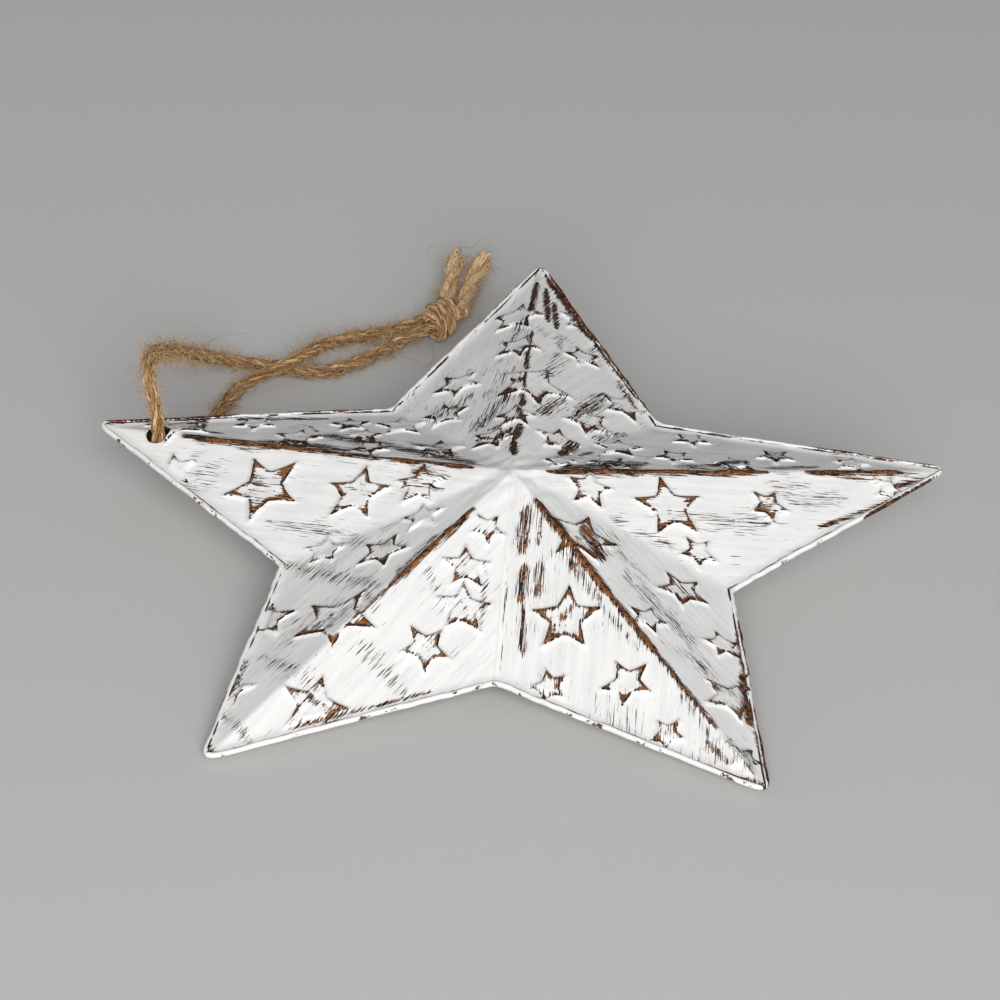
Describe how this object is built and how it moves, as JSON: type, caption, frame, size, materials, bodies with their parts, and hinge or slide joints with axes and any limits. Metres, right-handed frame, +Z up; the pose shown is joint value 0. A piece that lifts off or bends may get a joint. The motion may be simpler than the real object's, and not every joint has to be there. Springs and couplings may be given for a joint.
{
  "type": "metal star ornament",
  "caption": "Hollow two-sided pressed metal star, embossed all over with small raised stars, worn white paint, folded rim, and a knotted jute twine loop through the tip of one arm.",
  "frame": {"origin": "on the surface that the star lies on, under the middle of the box of its two shells, the twine left out", "axes": "+X from the arm with the twine towards the opposite arm, +Y from the two arms that it lies on towards the raised arm, +Z up"},
  "size_m": [0.171, 0.2296, 0.0359],
  "materials": {
    "worn_white_paint": "white paint, dry-brushed and rubbed back to rusty brown metal on ridges, rims and raised stars",
    "jute": "rough natural jute, three plies, with loose fibres"
  },
  "bodies": {
    "root": {"front_shell": "worn_white_paint", "back_shell": "worn_white_paint", "twine_front_strand": "jute", "twine_back_strand": "jute", "twine_knot": "jute", "twine_tail_a": "jute", "twine_tail_b": "jute"}
  },
  "joints": []
}
